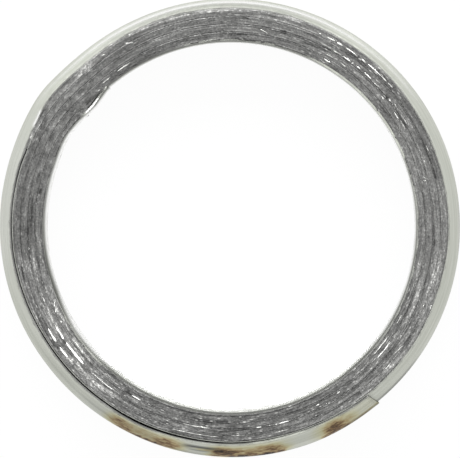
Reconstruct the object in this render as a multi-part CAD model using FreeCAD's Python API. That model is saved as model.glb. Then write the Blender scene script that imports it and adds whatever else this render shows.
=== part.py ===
import FreeCAD, Part
import math
import os

# Exhaust manifold ring gasket, spiral wound, in millimetres.
# One stainless steel strip, folded to a V, is wound up with one tape of graphite between its turns.
# The point of the V looks outwards. Past the outer end of the tape the strip goes on bare, spot
# welded to the turn below it.
# The origin is the middle of the ring on its lower sealing face, and +Z is the axis of the pipe.
# Angles are in degrees, anticlockwise from +X, seen from above. They are directions in which the
# strip faces, which in a step differ by a few degrees from the place round the ring.

# Driving dimensions
BORE_D = 52.3  # across the bore, at the edges of the innermost turn
HEIGHT = 5.0  # between the two sealing faces, before the gasket is clamped
VEE_DEPTH = 1.85  # how far the sharp point of the V stands out from its edges
STRIP_THICK = 0.20  # steel strip, square to its face
TAPE_THICK = 0.78  # graphite tape, measured along the radius
TAPE_TURNS = 4  # whole turns of graphite
NOSE_FLAT = 0.3  # height of the blunt outside bend of the strip, where it shows
SEAT_GAP = 0.01  # between the tape and the steel on each side of it
LAP_GAP = 0.06  # between two bare turns of the strip

# Each turn is a true circle but for one short step, where it climbs onto the turn below
STEP_FROM = 126.0
STEP_MIDDLE = 135.2
STEP_TO = 160.0
# The last step passes over the tape's tail and comes down on bare steel
CREST_TO = 150.0
LANDING_TO = 175.0

# The first few millimetres of the strip are sprung inwards, clear of the turn above them
SPRING_FROM = 155.0
SPRING_MIDDLE = 143.7
SPRING_TIP = 135.6
SPRING_TIGHT_R = 11.5
SPRING_FLAT_R = 61.0

TAPE_START = 134.5
TAPE_END = 160.0
TAPE_SPARE = 0.3  # what the tape's two squeezed ends are cut back from
STRIP_END = 310.4  # at the point of the V
END_SKEW = 9.0  # the outer end is sheared out of square

WELDS = (241.5, 253.0, 269.0, 281.5, 297.0)
WELD_D = 1.6
WELD_BITE = 0.08  # how deep a nugget reaches into each of its two layers

# Worked out from the driving dimensions
FLANK = math.atan2(VEE_DEPTH, HEIGHT / 2)
STRIP_R = STRIP_THICK / math.cos(FLANK)  # the strip's thickness along the radius
TAPE_PITCH = STRIP_R + TAPE_THICK + 2 * SEAT_GAP
LAP_PITCH = STRIP_R + LAP_GAP
BORE_R = BORE_D / 2
NOSE_LOSS = NOSE_FLAT / 2 * math.tan(FLANK)  # what the blunt bend takes off the sharp point
WHOLE_TURN = 360.0


def ray(degrees):
    """Unit vector in the plane of the ring."""
    angle = math.radians(degrees)
    return FreeCAD.Vector(math.cos(angle), math.sin(angle), 0)


def cross(first, second):
    return first.x * second.y - first.y * second.x


class Bend:
    """One round stretch of a winding: a circle about a centre of its own, between two angles."""

    def __init__(self, centre, radius, start, stop):
        self.centre = centre
        self.radius = radius
        self.start = start
        self.stop = stop

    def joined(self, radius, stop):
        """The next stretch, with another radius, tangent to the end of this one."""
        centre = self.centre + ray(self.stop) * (self.radius - radius)
        return Bend(centre, radius, self.stop, stop)

    def between(self, start, stop):
        """A part of the stretch."""
        return Bend(self.centre, self.radius, start, stop)


def step_radii(radius, rise):
    """Radii of the two bends that lift a circle by rise between STEP_FROM and STEP_TO."""
    first = math.sin(math.radians(STEP_TO - STEP_MIDDLE))
    last = math.sin(math.radians(STEP_MIDDLE - STEP_FROM))
    whole = math.sin(math.radians(STEP_TO - STEP_FROM))
    scale = rise / (first + last - whole)
    return radius + scale * first, radius + rise - scale * last


def climb(before, rise):
    """The two bends of a step that follows the circle before."""
    flat, tight = step_radii(before.radius, rise)
    turn = before.stop - STEP_FROM
    up = before.joined(flat, STEP_MIDDLE + turn)
    return [up, up.joined(tight, STEP_TO + turn)]


def settle(before):
    """The three bends that pass over the tape's tail and land on the turn below."""
    flat, _ = step_radii(before.radius, TAPE_PITCH)
    turn = before.stop - STEP_FROM
    up = before.joined(flat, STEP_MIDDLE + turn)
    # the three bends have to end concentric with the ring, LAP_PITCH further out
    origin = ray(STEP_MIDDLE)
    lifted = flat - before.radius
    crest = ray(CREST_TO) - origin
    landing = ray(LANDING_TO) - origin
    wanted = ray(STEP_FROM) * lifted - origin * (lifted - LAP_PITCH)
    crest_change = cross(wanted, landing) / cross(crest, landing)
    landing_change = cross(crest, wanted) / cross(crest, landing)
    last = before.radius + LAP_PITCH
    over = up.joined(last + landing_change + crest_change, CREST_TO + turn)
    return [up, over, over.joined(last + landing_change, LANDING_TO + turn)]


def sprung_start():
    """The strip's first two bends, listed from its free tip."""
    circle = Bend(FreeCAD.Vector(), BORE_R, SPRING_FROM, SPRING_FROM)
    tight = circle.joined(SPRING_TIGHT_R, SPRING_MIDDLE)
    flat = tight.joined(SPRING_FLAT_R, SPRING_TIP)
    return [Bend(b.centre, b.radius, b.stop, b.start) for b in (flat, tight)]


def wind():
    """Every bend of the strip, as lists: start, whole turns, settling bends and lap."""
    start = sprung_start()
    turns = []
    circle = Bend(FreeCAD.Vector(), BORE_R, SPRING_FROM, STEP_FROM + WHOLE_TURN)
    for turn in range(TAPE_TURNS):
        steps = climb(circle, TAPE_PITCH)
        turns.append([circle] + steps)
        circle = steps[-1].joined(circle.radius + TAPE_PITCH, circle.stop + WHOLE_TURN)
    settling = settle(circle)
    lap_end = STRIP_END + END_SKEW + circle.stop - STEP_FROM
    lap = settling[-1].joined(circle.radius + LAP_PITCH, lap_end)
    return start, turns, circle, settling, lap


def section(bend, inner, outer, blunt):
    """The V of a layer from inner to outer, in the plane where the bend starts."""
    middle = HEIGHT / 2
    outside = [(outer, HEIGHT), (outer + VEE_DEPTH, middle), (outer, 0)]
    if blunt:
        nose = outer + VEE_DEPTH - NOSE_LOSS
        outside[1:2] = [(nose, middle + NOSE_FLAT / 2), (nose, middle - NOSE_FLAT / 2)]
    inside = [(inner, 0), (inner + VEE_DEPTH, middle), (inner, HEIGHT)]
    across = ray(bend.start)
    corners = [
        bend.centre + across * (bend.radius + reach) + FreeCAD.Vector(0, 0, z)
        for reach, z in outside + inside
    ]
    return Part.Face(Part.makePolygon(corners + corners[:1]))


def layer(bends, inner, outer, blunt=False):
    """One solid for each bend: its V section turned about the bend's own axis."""
    up = FreeCAD.Vector(0, 0, 1)
    return [
        section(bend, inner, outer, blunt).revolve(bend.centre, up, bend.stop - bend.start)
        for bend in bends
    ]


def joined_solid(pieces):
    """One solid from pieces that meet end to end."""
    fused = pieces[0].multiFuse(pieces[1:]).removeSplitter()
    return fused.Solids[0] if len(fused.Solids) == 1 else fused


def end_cutter(lap):
    """A block that takes off what the strip has past its sheared outer end."""
    size = 2 * HEIGHT
    block = Part.makeBox(size, size, 2 * size, FreeCAD.Vector(0, 0, -size))
    up = FreeCAD.Vector(0, 0, 1)
    block.rotate(FreeCAD.Vector(), FreeCAD.Vector(1, 0, 0), END_SKEW)
    block.rotate(FreeCAD.Vector(), up, STRIP_END)
    foot = ray(STRIP_END) * (lap.radius - size / 2)
    block.translate(foot + FreeCAD.Vector(0, 0, HEIGHT / 2))
    return block


def nugget(angle, lap):
    """The metal that one spot weld melts together between the lap and the turn below."""
    inner = -LAP_GAP - WELD_BITE
    outer = WELD_BITE
    span = 2 * math.degrees(WELD_D / lap.radius)
    slab = layer([lap.between(angle - span / 2, angle + span / 2)], inner, outer)[0]
    foot = ray(angle) * (lap.radius - WELD_D) + FreeCAD.Vector(0, 0, HEIGHT / 2)
    length = 2 * WELD_D + VEE_DEPTH
    return slab.common(Part.makeCylinder(WELD_D / 2, length, foot, ray(angle)))


def make_steel_strip():
    start, turns, last_circle, settling, lap = wind()
    pieces = layer(start, 0, STRIP_R)
    for bends in turns:
        pieces += layer(bends, 0, STRIP_R)
    pieces += layer([last_circle] + settling, 0, STRIP_R, blunt=True)
    pieces.append(layer([lap], 0, STRIP_R, blunt=True)[0].cut(end_cutter(lap)))
    pieces += [nugget(angle, lap) for angle in WELDS]
    return joined_solid(pieces)


def squeezed(upper, lower):
    """Tape pressed into the narrowing space between the bends above it and the bends below it."""
    tape = joined_solid(layer(upper, -SEAT_GAP - TAPE_THICK - TAPE_SPARE, -SEAT_GAP))
    depth = TAPE_THICK + 2 * TAPE_SPARE
    for below in layer(lower, -depth, STRIP_R + SEAT_GAP):
        tape = tape.cut(below)
    return tape


def make_graphite_tape():
    start, turns, last_circle, settling, _ = wind()
    inner = -SEAT_GAP - TAPE_THICK
    outer = -SEAT_GAP
    first_circle, rise, crown = turns[0]
    head = [rise.between(TAPE_START + WHOLE_TURN, rise.stop), crown]
    pieces = [squeezed(head, start + [first_circle.between(first_circle.start, STEP_TO)])]
    for bends in turns[1:]:
        pieces += layer(bends, inner, outer)
    pieces += layer([last_circle, settling[0]], inner, outer)
    over, landing = settling[1:]
    tail = [over, landing.between(landing.start, landing.start + TAPE_END - CREST_TO)]
    under_tail = last_circle.between(last_circle.start, last_circle.start + LANDING_TO - STEP_TO)
    pieces.append(squeezed(tail, [turns[-1][-1], under_tail]))
    return joined_solid(pieces)


def write(shape, node):
    shape.exportStep(os.path.join("parts", node + ".step"))
    print(node, shape.ShapeType, len(shape.Solids), "valid", shape.isValid(), "volume", shape.Volume)


if __name__ == "__main__":
    os.makedirs("parts", exist_ok=True)
    write(make_steel_strip(), "steel_strip")
    write(make_graphite_tape(), "graphite_tape")
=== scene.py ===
"""Looks of a spiral wound exhaust manifold gasket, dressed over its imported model.

The ring is one stainless steel strip folded to a V and one graphite tape wound between its turns.
Both are built again here, with fine stations along the winding, from the same bends as the model.
Lengths in the classes are in millimetres and angles in degrees, anticlockwise from +X.
"""

import logging
import math
from dataclasses import dataclass, field
from enum import Enum

import bpy
import numpy as np
from mathutils import Matrix, Vector


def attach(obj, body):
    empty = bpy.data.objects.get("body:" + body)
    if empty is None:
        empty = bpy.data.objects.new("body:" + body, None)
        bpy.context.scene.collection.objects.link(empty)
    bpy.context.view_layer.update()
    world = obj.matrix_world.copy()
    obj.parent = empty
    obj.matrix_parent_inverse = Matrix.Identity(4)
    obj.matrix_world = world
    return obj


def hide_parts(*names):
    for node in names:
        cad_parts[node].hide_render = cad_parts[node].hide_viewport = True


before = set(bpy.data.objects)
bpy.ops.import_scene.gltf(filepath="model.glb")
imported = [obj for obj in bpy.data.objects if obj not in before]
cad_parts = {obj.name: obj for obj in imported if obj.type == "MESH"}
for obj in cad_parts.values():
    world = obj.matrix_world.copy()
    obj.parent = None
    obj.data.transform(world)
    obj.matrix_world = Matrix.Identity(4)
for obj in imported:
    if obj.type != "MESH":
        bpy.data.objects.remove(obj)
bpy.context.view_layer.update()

LOG = logging.getLogger("gasket")
MM = 0.001
WHOLE_TURN = 360.0
TURN_MARK = 140.0  # direction at which the turns of the strip are counted
TURN_STRIDE = 7.0  # how far apart the turns lie in the uneven patterns of their edges
MEAN_R = 29.0  # radius at which a pattern along the winding keeps its length
OUTER_R = 32.3  # radius of the outer flanks


class Slot(Enum):
    """Material slots of the record."""

    STAINLESS = "stainless_strip"
    GRAPHITE = "graphite"


class Node(Enum):
    """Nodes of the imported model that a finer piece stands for."""

    STRIP = "steel_strip"
    TAPE = "graphite_tape"


# The winding, and the values that are stored on its points


def ray(degrees: float) -> np.ndarray:
    """Unit vector in the plane of the ring."""
    angle = math.radians(degrees)
    return np.array([math.cos(angle), math.sin(angle)])


def cross(first: np.ndarray, second: np.ndarray) -> float:
    """Cross product of two plane vectors."""
    return float(first[0] * second[1] - first[1] * second[0])


@dataclass(frozen=True)
class Bend:
    """One round stretch of the winding, about a centre of its own."""

    centre: tuple
    radius: float
    start: float
    stop: float

    def joined(self, radius: float, stop: float) -> "Bend":
        """The next stretch, tangent to the end of this one."""
        centre = np.array(self.centre) + ray(self.stop) * (self.radius - radius)
        return Bend(tuple(centre), radius, self.stop, stop)

    def part(self, start: float, stop: float) -> "Bend":
        """A part of the stretch."""
        return Bend(self.centre, self.radius, start, stop)

    def meets(self, foot: np.ndarray, way: np.ndarray, reach: float) -> float:
        """How far from foot along way the bend lies, at reach outside its radius.

        Args:
            foot: Point that the line starts from.
            way: Unit direction of the line.
            reach: Distance added to the bend's radius.

        Returns:
            The distance, or not-a-number where the line misses the stretch.
        """
        gap = foot - np.array(self.centre)
        half = float(gap @ way)
        under = half * half - float(gap @ gap) + (self.radius + reach) ** 2
        if under < 0:
            return math.nan
        distance = -half + math.sqrt(under)
        hit = gap + way * distance
        angle = math.degrees(math.atan2(hit[1], hit[0]))
        low, high = sorted((self.start, self.stop))
        turned = (angle - low) % WHOLE_TURN
        return distance if turned <= high - low + 1e-6 else math.nan


@dataclass(frozen=True)
class Winding:
    """Driving sizes of the winding and the bends that follow from them."""

    bore_r: float = 26.15
    height: float = 5.0
    vee_depth: float = 1.85
    strip_thick: float = 0.20
    tape_thick: float = 0.78
    tape_turns: int = 4
    nose_round: float = 0.062
    seat_gap: float = 0.01
    lap_gap: float = 0.06
    step_from: float = 126.0
    step_middle: float = 135.2
    step_to: float = 160.0
    crest_to: float = 150.0
    landing_to: float = 175.0
    spring_from: float = 155.0
    spring_middle: float = 143.7
    spring_tip: float = 135.6
    spring_tight_r: float = 11.5
    spring_flat_r: float = 61.0
    tape_start: float = 134.5
    tongue_start: float = 129.3
    tape_end: float = 160.0
    tape_spare: float = 0.3
    strip_end: float = 310.4
    end_skew: float = 9.0
    head_margin: float = 5.0
    tail_margin: float = 20.0
    # Pairs of azimuth and millimetres: how far the upper legs of the outer turns are pressed
    # in, how far the free tip is bent outwards, and how far the points of the V are pressed in.
    pressed_in: tuple = (
        (0, 0.01), (20, 0.02), (45, -0.12), (60, -0.04), (75, -0.15), (90, -0.15), (102, -0.14),
        (114, -0.08), (126, -0.04), (141, -0.03), (146, 0.08), (151, 0.22), (156, 0.18),
        (159.5, 0.23), (163, 0.1), (167, 0.07), (174, 0.03), (186, 0.09), (198, 0.28), (210, 0.45),
        (222, 0.52), (234, 0.57), (246, 0.58), (258, 0.6), (270, 0.51), (283, 0.53), (294, 0.5),
        (306, 0.38), (318, 0.28), (330, 0.15), (342, 0.2), (354, 0.03), (360, 0.01),
    )
    tip_bent: tuple = (
        (129, 0.16), (132.5, 0.12), (135.5, -0.06), (138, -0.17), (141, -0.08), (145, 0.18),
        (150, 0.26), (156, 0.10), (160, 0.0),
    )
    nose_in: tuple = (
        (0, -0.02), (35, 0), (52, 0.1), (68, 0.14), (115, 0.16), (128, 0.1), (145, 0.12),
        (160, 0.07), (172, 0), (205, 0.03), (217, 0.09), (240, 0.11), (255, 0.06), (275, 0.01),
        (292, -0.05), (307, 0.06), (322, 0), (352, -0.03), (360, -0.02),
    )

    @property
    def strip_r(self) -> float:
        """The strip's thickness along the radius."""
        return self.strip_thick / math.cos(math.atan2(self.vee_depth, self.height / 2))

    @property
    def tape_pitch(self) -> float:
        """What one turn of strip and tape adds to the radius."""
        return self.strip_r + self.tape_thick + 2 * self.seat_gap

    @property
    def lap_pitch(self) -> float:
        """What one bare turn adds to the radius."""
        return self.strip_r + self.lap_gap

    def depth(self, level: np.ndarray) -> np.ndarray:
        """How far the V stands out at a level from -1, the lower face, to 1, the upper face."""
        blunt = self.nose_round
        return self.vee_depth * (math.sqrt(1 + blunt**2) - np.sqrt(level**2 + blunt**2))

    def lean(self, azimuth: np.ndarray, radius: np.ndarray, level: np.ndarray) -> np.ndarray:
        """How far the upper legs and the points of the outer turns were pressed inwards.

        Args:
            azimuth: Azimuth of each place.
            radius: Its radius on the sealing face, before it was pressed.
            level: Its level in the V, from -1 to 1.

        Returns:
            Change of radius, in millimetres.
        """
        legs = along_table(self.pressed_in, azimuth)
        nose = along_table(self.nose_in, azimuth)
        reach = np.clip((radius - self.bore_r) / (self.tape_turns * self.tape_pitch), 0, 1)
        moved = legs * reach**1.5 * smooth(level, 0.1, 1.0)
        return -moved - nose * reach**3 * smooth(-np.abs(level), -0.8, -0.1)

    def step_radii(self, radius: float, rise: float) -> tuple:
        """Radii of the two bends that lift a circle by rise.

        Args:
            radius: Radius of the circle.
            rise: How far it is lifted.

        Returns:
            The radius of the flat bend and that of the tight one.
        """
        first = math.sin(math.radians(self.step_to - self.step_middle))
        last = math.sin(math.radians(self.step_middle - self.step_from))
        whole = math.sin(math.radians(self.step_to - self.step_from))
        scale = rise / (first + last - whole)
        return radius + scale * first, radius + rise - scale * last

    def climb(self, before: Bend, rise: float) -> list:
        """The two bends of a step that follows the circle before.

        Args:
            before: The circle.
            rise: How far the step climbs.

        Returns:
            The flat bend and the tight one.
        """
        flat, tight = self.step_radii(before.radius, rise)
        turn = before.stop - self.step_from
        up = before.joined(flat, self.step_middle + turn)
        return [up, up.joined(tight, self.step_to + turn)]

    def settle(self, before: Bend) -> list:
        """The three bends that pass over the tape's tail and land on the turn below.

        Args:
            before: The last whole circle.

        Returns:
            The rise, the bend over the tail and the landing, which ends concentric with the ring.
        """
        flat, _ = self.step_radii(before.radius, self.tape_pitch)
        turn = before.stop - self.step_from
        up = before.joined(flat, self.step_middle + turn)
        origin = ray(self.step_middle)
        lifted = flat - before.radius
        crest = ray(self.crest_to) - origin
        landing = ray(self.landing_to) - origin
        wanted = ray(self.step_from) * lifted - origin * (lifted - self.lap_pitch)
        crest_change = cross(wanted, landing) / cross(crest, landing)
        landing_change = cross(crest, wanted) / cross(crest, landing)
        last = before.radius + self.lap_pitch
        over = up.joined(last + landing_change + crest_change, self.crest_to + turn)
        return [up, over, over.joined(last + landing_change, self.landing_to + turn)]

    def sprung_start(self) -> list:
        """The strip's first two bends, listed from its free tip.

        Returns:
            The flat bend and the tight one.
        """
        circle = Bend((0.0, 0.0), self.bore_r, self.spring_from, self.spring_from)
        tight = circle.joined(self.spring_tight_r, self.spring_middle)
        flat = tight.joined(self.spring_flat_r, self.spring_tip)
        return [Bend(b.centre, b.radius, b.stop, b.start) for b in (flat, tight)]

    def turns(self) -> list:
        """Whole turns of strip, each a circle and the two bends of its step.

        Returns:
            One list of bends for each turn.
        """
        turns = []
        circle = Bend((0.0, 0.0), self.bore_r, self.spring_from, self.step_from + WHOLE_TURN)
        for _ in range(self.tape_turns):
            steps = self.climb(circle, self.tape_pitch)
            turns.append([circle] + steps)
            circle = steps[-1].joined(circle.radius + self.tape_pitch, circle.stop + WHOLE_TURN)
        turns.append([circle])
        return turns

    def strip_bends(self) -> list:
        """Every bend of the strip, from its inner tip to its outer end.

        Returns:
            The bends in order.
        """
        turns = self.turns()
        last = turns[-1][0]
        settling = self.settle(last)
        stop = self.strip_end + last.stop - self.step_from
        lap = settling[-1].joined(last.radius + self.lap_pitch, stop)
        bends = self.sprung_start()
        for turn in turns:
            bends += turn
        return bends + settling + [lap]

    def tape_bends(self) -> list:
        """Every bend of the strip that has the tape under it, from the tape's head to its tail.

        Returns:
            The bends in order.
        """
        turns = self.turns()
        _, rise, crown = turns[0]
        last = turns[-1][0]
        up, over, landing = self.settle(last)
        bends = [rise.part(self.tongue_start + WHOLE_TURN, rise.stop), crown]
        for turn in turns[1:-1]:
            bends += turn
        tail = landing.part(landing.start, landing.start + self.tape_end - self.crest_to)
        return bends + [last, up, over, tail]

    def squeezing_bends(self) -> tuple:
        """The bends under the tape's head and those under its tail.

        Returns:
            Two lists of bends.
        """
        turns = self.turns()
        first = turns[0][0]
        last = turns[-1][0]
        head = self.sprung_start() + [first.part(first.start, self.step_to + self.head_margin)]
        tail = [turns[-2][-1], last.part(last.start, last.start + self.tail_margin)]
        return head, tail


class Course:
    """Stations along a row of bends, a short way apart."""

    def __init__(self, bends: list, spacing: float) -> None:
        """Places the stations.

        Args:
            bends: Stretches in order.
            spacing: Distance between stations, in millimetres.
        """
        centres, radii, angles, lengths = [], [], [], []
        walked = 0.0
        for number, bend in enumerate(bends):
            run = abs(math.radians(bend.stop - bend.start)) * bend.radius
            steps = max(2, math.ceil(run / spacing))
            share = np.linspace(0, 1, steps + 1)[0 if number == 0 else 1 :]
            centres.append(np.tile(bend.centre, (len(share), 1)))
            radii.append(np.full(len(share), bend.radius))
            angles.append(bend.start + share * (bend.stop - bend.start))
            lengths.append(walked + share * run)
            walked += run
        self.centre = np.concatenate(centres)
        self.radius = np.concatenate(radii)
        self.angle = np.concatenate(angles)
        self.length = np.concatenate(lengths)
        turned = np.radians(self.angle)
        self.way = np.stack([np.cos(turned), np.sin(turned)], axis=1)
        self.azimuth, self.distance = polar(self.centre + self.way * self.radius[:, None])

    def place(self, offset: np.ndarray, z: np.ndarray) -> np.ndarray:
        """Points at an offset outside the bend and a height.

        Args:
            offset: One row per station and one column per point of the section.
            z: Heights, the same shape.

        Returns:
            Points in millimetres, stations by section by three.
        """
        out = self.way[:, None, :] * (self.radius[:, None] + offset)[..., None]
        return np.concatenate([self.centre[:, None, :] + out, z[..., None]], axis=2)


class Patchwork:
    """Seeded smooth noise from 0 to 1 that closes on itself round the ring."""

    def __init__(self, seed: int, cells: int, across: float) -> None:
        """Draws the patches.

        Args:
            seed: Seed of the draw.
            cells: Patches round the ring.
            across: Width of a patch along the radius, in millimetres.
        """
        self.cells = cells
        self.across = across
        self.values = np.random.default_rng(seed).random((cells, 97))

    def at(self, azimuth: np.ndarray, across: np.ndarray) -> np.ndarray:
        """Noise at places given by azimuth in degrees and a second coordinate in millimetres.

        Args:
            azimuth: Azimuth of each place.
            across: Its second coordinate, such as a radius.

        Returns:
            The noise at each place, from 0 to 1.
        """
        azimuth, across = np.broadcast_arrays(azimuth, across)
        a = azimuth / WHOLE_TURN * self.cells
        b = across / self.across
        i, j = np.floor(a).astype(int), np.floor(b).astype(int)
        f, g = a - i, b - j
        f, g = f * f * (3 - 2 * f), g * g * (3 - 2 * g)
        rows = self.values.shape[1]
        low, high = (
            self.values[i % self.cells, row % rows] * (1 - f)
            + self.values[(i + 1) % self.cells, row % rows] * f
            for row in (j, j + 1)
        )
        return low * (1 - g) + high * g


def smooth(value: np.ndarray, low: float, high: float) -> np.ndarray:
    """Rises smoothly from 0 at low to 1 at high."""
    share = np.clip((value - low) / (high - low), 0, 1)
    return share * share * (3 - 2 * share)


def along_table(table: tuple, azimuth: np.ndarray) -> np.ndarray:
    """Values between the rows of a table of azimuth and value."""
    stops = np.array(table)
    return np.interp(azimuth, stops[:, 0], stops[:, 1])


def turned_by(azimuth: np.ndarray, angle: float) -> np.ndarray:
    """Signed way from an angle to each azimuth, between -180 and 180 degrees."""
    return (azimuth - angle + 180) % WHOLE_TURN - 180


def within(azimuth: np.ndarray, start: float, stop: float, soft: float) -> np.ndarray:
    """1 between two angles and 0 beyond them, with soft ends.

    Args:
        azimuth: Azimuth of each place.
        start: First angle.
        stop: Second angle, anticlockwise of the first.
        soft: Half the length of a soft end, in degrees.

    Returns:
        The share at each place.
    """
    half = (stop - start) / 2
    away = np.abs(turned_by(azimuth, start + half))
    return smooth(-away, -half - soft, soft - half)


def bell(value: np.ndarray, middle: float, half: float) -> np.ndarray:
    """1 at a middle value, falling softly on both sides of it."""
    return np.exp(-(((value - middle) / half) ** 2))


def polar(points: np.ndarray) -> tuple:
    """Azimuth of each point, from 0 to 360 degrees, and its distance from the ring's axis."""
    azimuth = np.degrees(np.arctan2(points[..., 1], points[..., 0])) % WHOLE_TURN
    return azimuth, np.linalg.norm(points[..., :2], axis=-1)


def swept_piece(name: str, points: np.ndarray, sharp: tuple) -> bpy.types.Object:
    """A closed band swept through sections, with its two ends capped.

    Args:
        name: Name of the piece.
        points: Stations by section points by three, in millimetres.
        sharp: Section points whose long edges stay sharp.

    Returns:
        The new object.
    """
    stations, ring = points.shape[:2]
    mesh = bpy.data.meshes.new(name)
    base = np.arange(stations - 1)[:, None] * ring
    here = np.arange(ring)[None, :]
    following = (here + 1) % ring
    quads = np.stack(
        [base + here, base + following, base + ring + following, base + ring + here],
        axis=2,
    ).reshape(-1, 4)
    faces = quads[:, ::-1].tolist()
    faces.append(list(range(ring)))
    faces.append(list(range(stations * ring - 1, (stations - 1) * ring - 1, -1)))
    mesh.from_pydata((points.reshape(-1, 3) * MM).tolist(), [], faces)
    mesh.polygons.foreach_set("use_smooth", [True] * len(mesh.polygons))
    ends = np.zeros(len(mesh.edges) * 2, dtype=np.int32)
    mesh.edges.foreach_get("vertices", ends)
    column = ends.reshape(-1, 2) % ring
    long_edge = column[:, 0] == column[:, 1]
    creased = long_edge & np.isin(column[:, 0], sharp)
    layer = mesh.attributes.new("sharp_edge", "BOOLEAN", "EDGE")
    layer.data.foreach_set("value", creased)
    mesh.update()
    piece = bpy.data.objects.new(name, mesh)
    bpy.context.scene.collection.objects.link(piece)
    return piece


def give_values(piece: bpy.types.Object, name: str, values: np.ndarray) -> None:
    """Stores one number or one vector per point of a piece, for its material.

    Args:
        piece: The piece.
        name: Name that the material reads it by.
        values: Array with the points in their order.
    """
    kind, key = ("FLOAT_VECTOR", "vector") if values.ndim == 3 else ("FLOAT", "value")
    layer = piece.data.attributes.new(name, kind, "POINT")
    layer.data.foreach_set(key, values.astype(np.float32).ravel())


def lie_of(points: np.ndarray, across: np.ndarray) -> np.ndarray:
    """Coordinates in millimetres for patterns that run along the winding without a seam.

    Args:
        points: Points, stations by section by three.
        across: Coordinate across the turns.

    Returns:
        Three coordinates for each point: two run round the ring and the third across.
    """
    distance = np.linalg.norm(points[..., :2], axis=2, keepdims=True)
    round_part = points[..., :2] / distance * MEAN_R
    return np.concatenate([round_part, across[..., None]], axis=2)


def give_all(
    piece: bpy.types.Object, points: np.ndarray, across: np.ndarray, values: dict
) -> None:
    """Stores all that the material of a piece reads.

    Args:
        piece: The piece.
        points: Its points, stations by section by three.
        across: Second winding coordinate of each point.
        values: Numbers or arrays by name, each for all the points.
    """
    shape = points.shape[:2]
    give_values(piece, "lie", lie_of(points, np.broadcast_to(across, shape)))
    for name, value in values.items():
        give_values(piece, name, np.broadcast_to(value, shape))


# Nodes and finishes


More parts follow.
